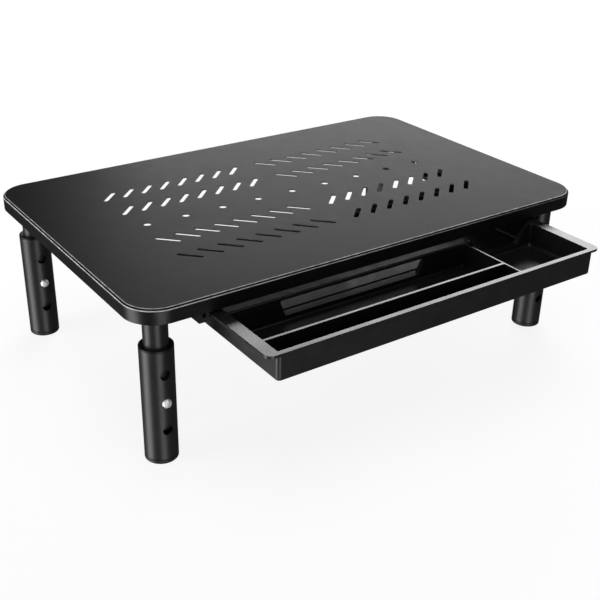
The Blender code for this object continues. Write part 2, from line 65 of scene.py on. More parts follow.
# ---- plate -------------------------------------------------------------------------------------
SHEET = 0.0010
PLATE_CORNER = 0.022
PLATE_CORNER_STEPS = 20
BAND = 0.0013                 # the edge's sloping band, along the top and down the side
ARRIS = 0.00045               # rounding where the band meets the top and the side
LIP_ROUND = 0.0003            # rounding of the sheet's lower edge
SIDE_HIGHLIGHT = 1.0               # painted highlight on the side arris at the top's left end,
SIDE_HIGHLIGHT_FALL = 2.6          # how much it fades over the top's length,
LEAST_SIDE_HIGHLIGHT = 0.15             # and the least that is left of it
TOP_HIGHLIGHT = 0.6                # painted highlight on the upper arris at the left end,
TOP_HIGHLIGHT_RISE = 1.2           # and how much it grows over the top's length
VENT_SHIFT = -0.001           # the vent pattern sits a little in front of the top's middle
VENT_ROW = 0.030
SLOT_PITCH = 0.015
SLOT_COUNT = 8
SLOT_LENGTH = 0.0185
SLOT_WIDTH = 0.0034
HOLE_PITCH = 0.030
HOLE_COUNT = 9
HOLE_RADIUS = 0.0028
HOLE_SIDES = 28
VENT_BREAK = 0.00014          # softened upper edge of each vent
# strength of the painted highlight round each vent's softened edge
VENT_HIGHLIGHT = 0.3
# places of the weld marks from the top's middle, and each mark's rings as share of radius, depth
WELD_MARKS = ((0.1567, 0.0911), (0.1594, -0.1049), (-0.1618, -0.0935), (-0.1589, 0.1020))
WELD_MARK_RADIUS = 0.0042
WELD_MARK_DEPTH = 0.00004
WELD_MARK_SIDES = 40
WELD_MARK_RINGS = ((1.1, 0), (1.0, 0), (0.9, WELD_MARK_DEPTH), (0.8, 0), (0.7, 0))

# ---- legs --------------------------------------------------------------------------------------
FIT = 0.0003                  # gap the frame keeps between pieces that touch
LEG_SIDES = 96
TUBE_WALL = 0.0012
SLEEVE_WALL = 0.0015
EDGE_BREAK = 0.00035          # rounding of the tubes' cut ends
FINE_EDGE = 0.0001            # rounding of an edge that reads as sharp
SMALL_EDGE = 0.0003           # rounding of the small moulded edges
LOCK_HOLE_RADIUS = 0.0034
LOCK_HOLE_FLARE = 0.0002      # depth of the flare round each lock hole
TUBE_HOLE_SIDES = 32
SLEEVE_HOLE_SIDES = 40
HEIGHT_STEP = 0.020
BUSH_SKIN = 0.0008
BUSH_ROUND = 0.0004
FOOT_ROUND = 0.001
FOOT_PLUG_WALL = 0.0009
BUTTON_SIDES = 48
BUTTON_FLANGE = 0.0006
BUTTON_DOME = 0.0016          # height of the button's rounded head
BUTTON_CROWN = 0.0002         # height of its flatter middle, and that middle's share of the width
BUTTON_CROWN_SHARE = 0.72
BUTTON_ROUND = 0.0009
CLIP_THICK = 0.0005
CLIP_STEPS = 24
BEAD_DROP = 0.0022            # the weld bead's height down the tube
BEAD_REACH = 0.0018           # and its width along the sheet
BEAD_SINK = 0.0002            # how far it bites into the tube, and the rounding of its edges
BEAD_GAP = 0.00005
BEAD_RIPPLES = 34
BEAD_RIPPLE = 0.012

# ---- drawer ------------------------------------------------------------------------------------
TRAY_FLOOR = 0.0018
TRAY_HALF = 0.1305
FLANGE_THICK = 0.0018
FLANGE_CORNER = 0.005
FRONT_LIP = 0.0004
BODY_CORNER = 0.0025
BOTTOM_ROUND = 0.001
REAR_OVERHANG = 0.0068
UNDERCUT = 0.001              # width of the rounded stretch at the flange's edge
HAIR = 0.0001                 # too small to see
POCKET_HALF = 0.1287
FRONT_RIM = 0.0037
REAR_RIM = 0.0086
PEN_SLOT = 0.0137
LONG_DIVIDER = 0.0021
CROSS_DIVIDER_X = 0.0625
CROSS_DIVIDER = 0.0014
REAR_DIVIDER_FROM_FRONT = 0.0562
REAR_DIVIDER = 0.0022
WINDOW_HALF_TOP = 0.0588
WINDOW_HALF_BOTTOM = 0.0546
WINDOW_TOP = 0.0018
WINDOW_BOTTOM = 0.0128
NOTCH_HALF_TOP = 0.0288
NOTCH_HALF_BOTTOM = 0.0186
NOTCH_BOTTOM = 0.0134
OPENING_CORNER = 0.0012       # rounding of the window's and the notch's corners
RIM_ROUND = 0.0002
CRISP_POCKET = (0.0007, 0.002)    # corner radius and foot of the two front compartments
SOFT_POCKET = (0.0014, 0.0046)    # and of the rear and the side ones
FLAT_SHARE = 1.3              # shares of a foot: where the flat floor starts, how far the wall
LEAN_SHARE = 0.38             # leans in, and the rounding between the two
COVE_SHARE = 0.55
SPREAD_SHARE = 0.2            # how much a compartment's corners open out towards its floor
FLOOR_LINE = 0.0084           # fine groove in the rear floor, behind the divider
FLOOR_LINE_WIDTH = 0.0024
FLOOR_LINE_DEPTH = 0.0009
FLOOR_LINE_END = 0.008
STOP_X = 0.1302
STOP_WIDTH = 0.0022
STOP_DEPTH = 0.003
STOP_FROM_FRONT = 0.0990
THROUGH = 0.002               # how far a cut runs past the face that it opens
EDGE_STEPS = 5
POCKET_STEPS = 6
TRAY_STEPS = 10
INSIDE_FRONT = tray_low.y + FRONT_RIM
PEN_REAR = INSIDE_FRONT + PEN_SLOT
MAIN_FRONT = PEN_REAR + LONG_DIVIDER
MAIN_REAR = tray_low.y + REAR_DIVIDER_FROM_FRONT
BACK_FRONT = MAIN_REAR + REAR_DIVIDER
BACK_REAR = tray_high.y - REAR_RIM
LEFT_END = CROSS_DIVIDER_X - CROSS_DIVIDER / 2
RIGHT_START = CROSS_DIVIDER_X + CROSS_DIVIDER / 2
POCKET_FLOOR = tray_low.z + TRAY_FLOOR


# ---- material helpers --------------------------------------------------------------------------
def surface(name, roughness, specular, metallic=0.0):
    """New material, its node tree and its shader, with the plain values set on the sockets."""
    mat = bpy.data.materials.new(name)
    mat.use_nodes = True
    shader = mat.node_tree.nodes["Principled BSDF"]
    shader.inputs["Roughness"].default_value = roughness
    shader.inputs["Specular IOR Level"].default_value = specular
    shader.inputs["Metallic"].default_value = metallic
    return mat, mat.node_tree, shader


def noise(tree, scale, detail=4.0, distortion=0.0, squash=None):
    """Noise in the piece's own space, in features per metre."""
    place = tree.nodes.new("ShaderNodeTexCoord").outputs["Object"]
    if squash:
        mapping = tree.nodes.new("ShaderNodeMapping")
        mapping.inputs["Scale"].default_value = squash
        tree.links.new(place, mapping.inputs["Vector"])
        place = mapping.outputs["Vector"]
    node = tree.nodes.new("ShaderNodeTexNoise")
    node.inputs["Scale"].default_value = scale
    node.inputs["Detail"].default_value = detail
    node.inputs["Distortion"].default_value = distortion
    tree.links.new(place, node.inputs["Vector"])
    return node.outputs["Fac"]


def remap(tree, value, low, high, from_low=0.3, from_high=0.7):
    node = tree.nodes.new("ShaderNodeMapRange")
    node.inputs["From Min"].default_value = from_low
    node.inputs["From Max"].default_value = from_high
    node.inputs["To Min"].default_value = low
    node.inputs["To Max"].default_value = high
    tree.links.new(value, node.inputs["Value"])
    return node.outputs["Result"]


def blend(tree, share, first, second):
    """Colour between two colours or colour outputs, by a share from 0 to 1."""
    node = tree.nodes.new("ShaderNodeMix")
    node.data_type = "RGBA"
    tree.links.new(share, node.inputs["Factor"])
    for socket, colour in ((node.inputs["A"], first), (node.inputs["B"], second)):
        if isinstance(colour, bpy.types.NodeSocket):
            tree.links.new(colour, socket)
        else:
            socket.default_value = (*colour, 1.0)
    return node.outputs["Result"]


def level(tree, low, high, at_low, at_high):
    """Value that changes with height, between two heights in the piece's own space."""
    split = tree.nodes.new("ShaderNodeSeparateXYZ")
    tree.links.new(tree.nodes.new("ShaderNodeTexCoord").outputs["Object"], split.inputs[0])
    return remap(tree, split.outputs["Z"], at_low, at_high, low, high)


def arithmetic(tree, operation, first, second):
    node = tree.nodes.new("ShaderNodeMath")
    node.operation = operation
    tree.links.new(first, node.inputs[0])
    tree.links.new(second, node.inputs[1])
    return node.outputs["Value"]


def bump(tree, shader, height, depth, strength, base=None):
    node = tree.nodes.new("ShaderNodeBump")
    node.inputs["Strength"].default_value = strength
    node.inputs["Distance"].default_value = depth
    tree.links.new(height, node.inputs["Height"])
    if base:
        tree.links.new(base, node.inputs["Normal"])
    tree.links.new(node.outputs["Normal"], shader.inputs["Normal"])
    return node.outputs["Normal"]


def attribute(tree, name):
    node = tree.nodes.new("ShaderNodeAttribute")
    node.attribute_name = name
    return node.outputs["Fac"]


# ---- materials ---------------------------------------------------------------------------------
HIGHLIGHT_COLOUR = (0.90, 0.90, 0.90)      # colour of the painted highlight along the marked edges
MATTE_EXTRA = 0.2             # roughness that the tray's grained faces have over its rims
POLISH_FADE = 0.0003          # height over which the grain gives way to the polished rims


def powder_coat(name, dark, light, roughness, specular):
    """Satin powder coat: fine grain, slow variation, and a painted highlight along the edges that
    the mesh marks.
    """
    mat, tree, shader = surface(name, roughness, specular)
    clouds = remap(tree, noise(tree, 22.0, 2.0), 0.0, 1.0)
    coat = blend(tree, clouds, dark, light)
    speck = remap(tree, noise(tree, 900.0, 2.0), 0.0, 0.25, 0.55, 0.8)
    coat = blend(tree, speck, coat, tuple(2.0 * c for c in light))
    # Painted highlight: edges marked in the mesh turn towards near-white, broken up by patchy
    # noise.
    patchy = remap(tree, noise(tree, 260.0), 0.45, 1.0)
    highlight_share = arithmetic(tree, "MULTIPLY", attribute(tree, "painted_highlight"), patchy)
    coat = blend(tree, highlight_share, coat, HIGHLIGHT_COLOUR)
    tree.links.new(coat, shader.inputs["Base Color"])
    grain = noise(tree, 2600.0, 3.0)
    gloss = remap(tree, noise(tree, 90.0, 2.0), roughness - 0.015, roughness + 0.015)
    tree.links.new(gloss, shader.inputs["Roughness"])
    peel = bump(tree, shader, noise(tree, 700.0, 2.0), 0.00004, 0.2)
    bump(tree, shader, grain, 0.00002, 0.3, peel)
    return mat


def moulded(name, dark, light, roughness, specular, grain_size=1800.0, depth=0.00002,
            polished_above=None):
    """Moulded plastic: spark-eroded grain, with a slow drift in shade and gloss."""
    mat, tree, shader = surface(name, roughness, specular)
    clouds = remap(tree, noise(tree, 28.0, 3.0, 0.6), 0.0, 1.0)
    tree.links.new(blend(tree, clouds, dark, light), shader.inputs["Base Color"])
    gloss = remap(tree, noise(tree, 75.0), roughness - 0.04, roughness + 0.05)
    if polished_above:
        matte = level(tree, polished_above - POLISH_FADE, polished_above, MATTE_EXTRA, 0.0)
        gloss = arithmetic(tree, "ADD", gloss, matte)
    tree.links.new(gloss, shader.inputs["Roughness"])
    bump(tree, shader, noise(tree, grain_size, 3.0), depth, 0.4)
    return mat


def zinc(name):
    """Bright zinc plate with fine drawn lines and slightly cloudy passivation."""
    mat, tree, shader = surface(name, 0.4, 0.5, metallic=0.6)
    clouds = remap(tree, noise(tree, 220.0), 0.0, 1.0)
    tree.links.new(blend(tree, clouds, (0.92, 0.92, 0.93), (0.98, 0.98, 0.97)),
                   shader.inputs["Base Color"])
    lines = noise(tree, 900.0, 3.0, 0.0, (1.0, 1.0, 6.0))
    tree.links.new(remap(tree, lines, 0.36, 0.48), shader.inputs["Roughness"])
    bump(tree, shader, lines, 0.00001, 0.12)
    return mat


# The top, the skirt and the legs have one powder coat; the skirt's copy is painted darker as
# painted shade, and the legs' copy lighter as painted light.
coat_top = powder_coat("top_powder_coat", (0.009, 0.009, 0.0095), (0.011, 0.011, 0.0115),
                       0.40, 0.026)
coat_skirt_shaded = powder_coat("skirt_powder_coat_painted_shade", (0.003, 0.003, 0.003), (0.005, 0.005, 0.005),
                         0.36, 0.4)
coat_leg_lightened = powder_coat("leg_powder_coat_painted_light", (0.012, 0.012, 0.0125), (0.018, 0.018, 0.019),
                       0.38, 0.5)
tray_plastic = moulded("tray_moulding", (0.009, 0.009, 0.009), (0.012, 0.012, 0.012), 0.24, 0.62,
                       polished_above=RIM - POLISH_FADE)
# Darker, rougher copy of the tray's moulding for the compartments: the darker colour is painted
# shade, the roughness is their matte grain.
pocket_plastic_shaded = moulded("pocket_moulding_painted_shade", (0.004, 0.004, 0.004), (0.006, 0.006, 0.006),
                         0.32, 0.3)
rail_plastic = moulded("rail_moulding", (0.008, 0.008, 0.008), (0.014, 0.014, 0.014), 0.45, 0.4)
bush_plastic = moulded("bush_moulding", (0.008, 0.008, 0.008), (0.012, 0.012, 0.012), 0.34, 0.5)
foot_plastic = moulded("foot_moulding", (0.010, 0.010, 0.010), (0.015, 0.015, 0.015), 0.5, 0.4,
                       900.0, 0.00004)
zinc_plate = zinc("zinc_plate")


# ---- mesh helpers ------------------------------------------------------------------------------
def finished(name, bm, mat, body, stands_for=(), angle=30):
    """Mesh object from bmesh, shaded, riding on its body and standing for its CAD nodes."""
    bmesh.ops.recalc_face_normals(bm, faces=bm.faces)
    mesh = bpy.data.meshes.new(name)
    bm.to_mesh(mesh)
    bm.free()
    obj = bpy.data.objects.new(name, mesh)
    bpy.context.collection.objects.link(obj)
    mesh.materials.append(mat)
    mesh.shade_smooth()
    mesh.set_sharp_from_angle(angle=math.radians(angle))
    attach(obj, body)
    if stands_for:
        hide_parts(*stands_for)
    return obj


def filleted(points, radii, steps=4, closed=False):
    """Path of 2-D points with its corners rounded; radii are one for each point."""
    path = []
    count = len(points)
    for i, (point, radius) in enumerate(zip(points, radii)):
        here = Vector(point)
        if radius == 0 or (not closed and i in (0, count - 1)):
            path.append(here)
            continue
        to_last = (Vector(points[i - 1]) - here).normalized()
        to_next = (Vector(points[(i + 1) % count]) - here).normalized()
        half = to_last.angle(to_next) / 2
        centre = here + (to_last + to_next).normalized() * (radius / math.sin(half))
        first = here + to_last * (radius / math.tan(half)) - centre
        last = here + to_next * (radius / math.tan(half)) - centre
        sweep = first.angle_signed(last)
        for k in range(steps + 1):
            spoke = first.copy()
            spoke.rotate(Matrix.Rotation(-sweep * k / steps, 2))
            path.append(centre + spoke)
    return path


def rounded_outline(x0, x1, y0, y1, radius, steps):
    corners = [(x1, y1), (x0, y1), (x0, y0), (x1, y0)]
    return filleted(corners, [radius] * 4, steps, closed=True)


def circle(x, y, radius, sides):
    turns = [2 * math.pi * i / sides for i in range(sides)]
    return [(x + radius * math.cos(a), y + radius * math.sin(a)) for a in turns]


def ring(bm, outline, z):
    return [bm.verts.new((p[0], p[1], z)) for p in outline]


def bridge(bm, low, high):
    count = len(low)
    for i in range(count):
        j = (i + 1) % count
        bm.faces.new((low[i], low[j], high[j], high[i]))


def stack(levels):
    """Closed solid skinned over outlines of equal point count, each with its height."""
    bm = bmesh.new()
    rings = [ring(bm, outline, z) for outline, z in levels]
    for low, high in zip(rings, rings[1:]):
        bridge(bm, low, high)
    bm.faces.new(rings[0])
    bm.faces.new(rings[-1])
    return bm


def prism(outline, along, start, end):
    """Solid of one outline, drawn across the axis called along, between two places on it."""
    bm = bmesh.new()
    ends = []
    for place in (start, end):
        if along == "X":
            ends.append([bm.verts.new((place, u, v)) for u, v in outline])
        else:
            ends.append([bm.verts.new((u, place, v)) for u, v in outline])
    bridge(bm, *ends)
    for loop in ends:
        bm.faces.new(loop)
    return bm


def turned(profile, sides=LEG_SIDES, closed=True):
    """Spin a profile of (radius, height) points round the Z axis."""
    bm = bmesh.new()
    verts = [bm.verts.new((p[0], 0, p[1])) for p in profile]
    edges = [bm.edges.new(pair) for pair in zip(verts, verts[1:])]
    if closed:
        edges.append(bm.edges.new((verts[-1], verts[0])))
    bmesh.ops.spin(bm, geom=verts + edges, cent=(0, 0, 0), axis=(0, 0, 1),
                   angle=2 * math.pi, steps=sides, use_duplicate=False)
    bmesh.ops.remove_doubles(bm, verts=bm.verts, dist=1e-6)
    return bm


def moved(bm, place, turn=None):
    if turn:
        bmesh.ops.rotate(bm, verts=bm.verts, cent=(0, 0, 0), matrix=turn)
    bmesh.ops.translate(bm, verts=bm.verts, vec=place)
    return bm


def combine(obj, bm, operation="DIFFERENCE"):
    """Cut a solid from the object, or join one to it, and keep the result as its mesh."""
    bmesh.ops.recalc_face_normals(bm, faces=bm.faces)
    mesh = bpy.data.meshes.new("tool")
    bm.to_mesh(mesh)
    bm.free()
    tool = bpy.data.objects.new("tool", mesh)
    bpy.context.collection.objects.link(tool)
    mod = obj.modifiers.new("shape", "BOOLEAN")
    mod.operation = operation
    mod.solver = "EXACT"
    mod.object = tool
    graph = bpy.context.evaluated_depsgraph_get()
    result = bpy.data.meshes.new_from_object(obj.evaluated_get(graph))
    obj.modifiers.clear()
    old = obj.data
    obj.data = result
    result.name = obj.name
    bpy.data.meshes.remove(old)
    bpy.data.objects.remove(tool, do_unlink=True)


def smooth_again(obj, angle=30):
    obj.data.shade_smooth()
    obj.data.set_sharp_from_angle(angle=math.radians(angle))
    mod = obj.modifiers.new("even_normals", "WEIGHTED_NORMAL")
    mod.keep_sharp = True


TO_FRONT = Matrix.Rotation(math.radians(90), 3, "X")


# ---- plate -------------------------------------------------------------------------------------
def slot_outline(grow, steps=8):
    half = (SLOT_LENGTH - SLOT_WIDTH) / 2
    radius = SLOT_WIDTH / 2 + grow
    points = []
    for end, start in ((half, -90), (-half, 90)):
        for i in range(steps + 1):
            angle = math.radians(start + 180 * i / steps)
            points.append((end + radius * math.cos(angle), radius * math.sin(angle)))
    return points


def vent_outlines(grow):
    """Outlines of every slot and round vent, grown by a margin."""
    outlines = []
    slot = slot_outline(grow)
    for side in (-1, 1):
        for column in range(1, SLOT_COUNT + 1):
            for row in (-2, -1, 1, 2):
                lean = math.radians(45 if side * row < 0 else -45)
                cx = side * column * SLOT_PITCH
                cy = PLATE_Y + VENT_SHIFT + row * VENT_ROW
                outlines.append([(cx + u * math.cos(lean) - v * math.sin(lean),
                                  cy + u * math.sin(lean) + v * math.cos(lean))
                                 for u, v in slot])
    for i in range(HOLE_COUNT):
        cx = (i - (HOLE_COUNT - 1) / 2) * HOLE_PITCH
        outlines.append(circle(cx, PLATE_Y + VENT_SHIFT, HOLE_RADIUS + grow, HOLE_SIDES))
    return outlines


def fill_flat(bm, loops):
    """Fill the flat region between an outer loop and the loops inside it."""
    edges = []
    for loop in loops:
        for i, vert in enumerate(loop):
            edges.append(bm.edges.get((vert, loop[(i + 1) % len(loop)])))
    bmesh.ops.triangle_fill(bm, edges=edges, use_dissolve=False, use_beauty=True)


def plate_edge(bm, painted_highlight):
    """Band and turned-down skirt; returns the loops that bound the flat sheet's two faces."""
    near, far = BAND / 4, BAND * 3 / 4
    outer = filleted([(SHEET / 2, SKIRT), (0, SKIRT), (0, BAND + ARRIS), (0, BAND), (near, far),
                      (far, near), (BAND, 0), (BAND + ARRIS, 0)],
                     [0, LIP_ROUND, 0, ARRIS, 0, 0, ARRIS, 0])
    inner = filleted([(SHEET / 2, SKIRT), (SHEET, SKIRT), (SHEET, SHEET + BAND),
                      (SHEET + BAND, SHEET), (SHEET + 3 * BAND, SHEET)],
                     [0, LIP_ROUND, ARRIS, ARRIS, 0])

    def plate_ring(inset, depth):
        x, y = HALF_LENGTH - inset, HALF_DEPTH - inset
        outline = rounded_outline(-x, x, PLATE_Y - y, PLATE_Y + y, PLATE_CORNER - inset,
                                  PLATE_CORNER_STEPS)
        return ring(bm, outline, TOP - depth)

    skin = [plate_ring(*point) for point in outer]
    # The two arrises carry the painted highlight: it fades from left to right on the side arris
    # and grows on the upper one, as the light falls along the edge.
    for point, loop in zip(outer, skin):
        on_side = (point - Vector((0, BAND))).length < ARRIS / 2
        on_top = (point - Vector((BAND, 0))).length < ARRIS / 2
        for vert in loop:
            along = (vert.co.x + HALF_LENGTH) / (2 * HALF_LENGTH)
            if on_side:
                vert[painted_highlight] = max(LEAST_SIDE_HIGHLIGHT, SIDE_HIGHLIGHT - SIDE_HIGHLIGHT_FALL * along)
            elif on_top:
                vert[painted_highlight] = min(1.0, TOP_HIGHLIGHT + TOP_HIGHLIGHT_RISE * along)
    lining = [skin[0]] + [plate_ring(*point) for point in inner[1:]]
    for loops in (skin, lining):
        for low, high in zip(loops, loops[1:]):
            bridge(bm, low, high)
    # Skirt faces take the darker copy of the coat: painted shade.
    for face in bm.faces:
        if max(vert.co.z for vert in face.verts) < TOP - BAND / 2:
            face.material_index = 1
    return skin[-1], lining[-1]


def weld_mark(bm, x, y):
    """Faint ring-shaped dent over a leg's fixing; returns the loop round it."""
    circles = [ring(bm, circle(x, y, WELD_MARK_RADIUS * share, WELD_MARK_SIDES), TOP - depth)
               for share, depth in WELD_MARK_RINGS]
    for outside, inside in zip(circles, circles[1:]):
        bridge(bm, outside, inside)
    bm.faces.new(circles[-1])
    return circles[0]


def make_plate():
    bm = bmesh.new()
    painted_highlight = bm.verts.layers.float.new("painted_highlight")
    top_edge, under_edge = plate_edge(bm, painted_highlight)
    top_loops, under_loops = [top_edge], [under_edge]
    for grown, plain in zip(vent_outlines(VENT_BREAK), vent_outlines(0)):
        mouth = ring(bm, grown, TOP)
        shoulder = ring(bm, plain, TOP - VENT_BREAK)
        # Each vent's shoulder ring carries a weaker painted highlight.
        for vert in shoulder:
            vert[painted_highlight] = VENT_HIGHLIGHT
        under = ring(bm, plain, TOP - SHEET)
        bridge(bm, mouth, shoulder)
        bridge(bm, shoulder, under)
        top_loops.append(mouth)
        under_loops.append(under)
    for x, y in WELD_MARKS:
        top_loops.append(weld_mark(bm, x, PLATE_Y + y))
    fill_flat(bm, top_loops)
    fill_flat(bm, under_loops)
    plate = finished("plate_shell", bm, coat_top, "frame", ["top_plate"],
                     angle=40)
    plate.data.materials.append(coat_skirt_shaded)


# ---- legs --------------------------------------------------------------------------------------
class Leg:
    """One leg's axis, radii and lock height, read from its CAD pieces."""

    def __init__(self, corner):
        tube_low, tube_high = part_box("leg_tube_" + corner)
        sleeve_low, sleeve_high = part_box("leg_sleeve_" + corner)
        button_low, button_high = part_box("snap_button_" + corner)
        self.corner = corner
        self.axis = Vector(((tube_low.x + tube_high.x) / 2, (tube_low.y + tube_high.y) / 2, 0))
        self.tube_radius = (tube_high.x - tube_low.x) / 2
        self.bore = self.tube_radius + FIT
        self.radius = (sleeve_high.x - sleeve_low.x) / 2
        self.sleeve_low, self.sleeve_high = sleeve_low.z, sleeve_high.z
        self.lock = self.axis + Vector((0, 0, (button_low.z + button_high.z) / 2))

    def upright(self, name, profile, mat, body, node, slot, closed=True):
        """Piece turned round the leg's axis, standing for its CAD node."""
        return finished(f"{name}_{self.corner}", moved(turned(profile, closed=closed), self.axis),
                        mat, body, [f"{node}_{self.corner}"])


def ring_section(bore, skin, low, high, radii):
    """Section of a tube or ring, with a rounding for each corner from the bore's foot on."""
    return filleted([(bore, low), (skin, low), (skin, high), (bore, high)], radii, closed=True)


def make_tube(leg):
    low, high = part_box("leg_tube_" + leg.corner)
    profile = ring_section(leg.tube_radius - TUBE_WALL, leg.tube_radius, low.z, high.z,
                           [EDGE_BREAK, EDGE_BREAK, 0, 0])
    tube = leg.upright("tube", profile, coat_leg_lightened, "frame", "leg_tube", "powder_coated_steel")
    reach = 2 * leg.tube_radius
    hole = turned([(0, 0), (LOCK_HOLE_RADIUS, 0), (LOCK_HOLE_RADIUS, reach), (0, reach)],
                  TUBE_HOLE_SIDES, closed=False)
    combine(tube, moved(hole, leg.lock, TO_FRONT))
    smooth_again(tube)


def make_sleeve(leg):
    profile = ring_section(leg.radius - SLEEVE_WALL, leg.radius, leg.sleeve_low, leg.sleeve_high,
                           [0, EDGE_BREAK / 2, EDGE_BREAK, EDGE_BREAK])
    sleeve = leg.upright("sleeve", profile, coat_leg_lightened, "leg_" + leg.corner, "leg_sleeve",
                         "powder_coated_steel")
    flare = LOCK_HOLE_RADIUS + EDGE_BREAK
    face = leg.radius - LOCK_HOLE_FLARE
    reach = 2 * leg.radius
    for step in (-1, 0, 1):
        hole = turned([(0, 0), (LOCK_HOLE_RADIUS, 0), (LOCK_HOLE_RADIUS, face - EDGE_BREAK),
                       (flare, face + EDGE_BREAK), (flare, reach), (0, reach)],
                      SLEEVE_HOLE_SIDES, closed=False)
        combine(sleeve, moved(hole, leg.lock + Vector((0, 0, step * HEIGHT_STEP)), TO_FRONT))
    smooth_again(sleeve)


def make_bush(leg):
    """Guide bush between the tube and the sleeve, with a low collar on the sleeve's end."""
    low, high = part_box("leg_bush_" + leg.corner)
    seat = leg.sleeve_high + FIT
    skin = leg.bore + BUSH_SKIN
    profile = filleted([(leg.bore, low.z), (skin, low.z), (skin, seat), (leg.radius, seat),
                        (leg.radius, high.z), (leg.bore, high.z)],
                       [0, 0, 0, FINE_EDGE, BUSH_ROUND, FINE_EDGE], closed=True)
    leg.upright("bush", profile, bush_plastic, "leg_" + leg.corner, "leg_bush", "black_plastic")


def make_guide(leg):
    low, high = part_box("tube_guide_" + leg.corner)
    profile = ring_section(leg.bore, (high.x - low.x) / 2, low.z, high.z,
                           [0, SMALL_EDGE, SMALL_EDGE, 0])
    leg.upright("guide", profile, bush_plastic, "frame", "tube_guide", "black_plastic")


def make_foot(leg):
    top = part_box("foot_cap_" + leg.corner)[1].z
    rim = leg.sleeve_low - FIT
    skin = leg.radius - SLEEVE_WALL - FIT
    inside = skin - FOOT_PLUG_WALL
    profile = filleted([(0, 0), (leg.radius, 0), (leg.radius, rim), (skin, rim), (skin, top),
                        (inside, top), (inside, rim), (0, rim)],
                       [0, FOOT_ROUND, SMALL_EDGE, 0, SMALL_EDGE, SMALL_EDGE, SMALL_EDGE, 0], 8)
    leg.upright("foot", profile, foot_plastic, "leg_" + leg.corner, "foot_cap", "foot_plastic",
                closed=False)


def make_button(leg):
    """Snap button: a domed pin on a thin flange, turned round the lock hole's axis."""
    low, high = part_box("snap_button_" + leg.corner)
    tip = leg.axis.y - low.y
    back = leg.axis.y - high.y
    front = back + BUTTON_FLANGE
    flange = (high.x - low.x) / 2
    pin = LOCK_HOLE_RADIUS - FIT
    profile = filleted([(0, back), (flange, back), (flange, front), (pin, front),
                        (pin, tip - BUTTON_DOME), (pin * BUTTON_CROWN_SHARE, tip - BUTTON_CROWN),
                        (0, tip)],
                       [0, FINE_EDGE, FINE_EDGE, FINE_EDGE, BUTTON_ROUND, BUTTON_ROUND, 0], 5)
    button = moved(turned(profile, BUTTON_SIDES, closed=False), leg.lock, TO_FRONT)
    finished("button_" + leg.corner, button, zinc_plate, "button_" + leg.corner,
             ["snap_button_" + leg.corner])


def make_bead(leg):
    """Weld bead where the tube meets the sheet, slightly rippled."""
    under = TOP - SHEET - BEAD_GAP
    inside = leg.tube_radius - BEAD_SINK
    profile = filleted([(inside, under), (inside, TOP - SHEET - BEAD_DROP),
                        (leg.tube_radius + BEAD_REACH, under)],
                       [0, BEAD_SINK, BEAD_SINK], closed=True)
    bead = moved(turned(profile), leg.axis)
    for vert in bead.verts:
        spoke = vert.co - leg.axis
        spread = 1 + BEAD_RIPPLE * math.sin(BEAD_RIPPLES * math.atan2(spoke.y, spoke.x))
        vert.co.x = leg.axis.x + spoke.x * spread
        vert.co.y = leg.axis.y + spoke.y * spread
    finished("weld_bead_" + leg.corner, bead, coat_leg_lightened, "frame")


def make_clip(leg):
    """Hairpin leaf spring behind the button, in one fixed shape; the real spring closes up as the
    button is pressed.
    """
    node = "spring_clip_" + leg.corner
    low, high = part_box(node)
    middle = (low.y + high.y) / 2
    reach = (high.y - low.y) / 2
    bore = reach - CLIP_THICK
    crown = high.z - reach
    turns = [math.pi * i / CLIP_STEPS for i in range(CLIP_STEPS + 1)]
    outline = [(low.y, low.z)]
    outline += [(middle - reach * math.cos(a), crown + reach * math.sin(a)) for a in turns]
    outline += [(high.y, low.z), (middle + bore, low.z)]
    outline += [(middle + bore * math.cos(a), crown + bore * math.sin(a)) for a in turns]
    outline += [(middle - bore, low.z)]
    clip = finished("clip_" + leg.corner, prism(outline, "X", low.x, high.x), zinc_plate, "frame",
                    [node])
    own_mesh(clip)


def make_leg(corner):
    leg = Leg(corner)
    make_tube(leg)
    make_sleeve(leg)
    make_bush(leg)
    make_guide(leg)
    make_foot(leg)
    make_button(leg)
    make_bead(leg)
    make_clip(leg)


# ---- drawer ------------------------------------------------------------------------------------
def pocket(x0, x1, y0, y1, radius, foot):
    """One compartment: rounded floor edge, leaning walls and a softly rounded mouth."""
    depth = RIM - POCKET_FLOOR
    side = filleted([(foot * FLAT_SHARE, 0), (foot * LEAN_SHARE, 0), (0, depth),
                     (-RIM_ROUND * 2, depth)],
                    [0, foot * COVE_SHARE, RIM_ROUND, 0], EDGE_STEPS)

    def outline(inset, corner):
        return rounded_outline(x0 + inset, x1 - inset, y0 + inset, y1 - inset, corner,
                               POCKET_STEPS)

    levels = [(outline(inset, radius + inset * SPREAD_SHARE), POCKET_FLOOR + rise)
              for inset, rise in side]
    levels.append((outline(side[-1][0], radius), RIM + THROUGH))
    return stack(levels)


def opening(centre, half_top, half_bottom, z_top, z_bottom, top_radius):
    """Outline of a cut through the rear divider, wider at the top, as (x, z) points."""
    corners = [(centre - half_bottom, z_bottom), (centre + half_bottom, z_bottom),
               (centre + half_top, z_top), (centre - half_top, z_top)]
    radii = [OPENING_CORNER, OPENING_CORNER, top_radius, top_radius]
    return filleted(corners, radii, EDGE_STEPS, closed=True)


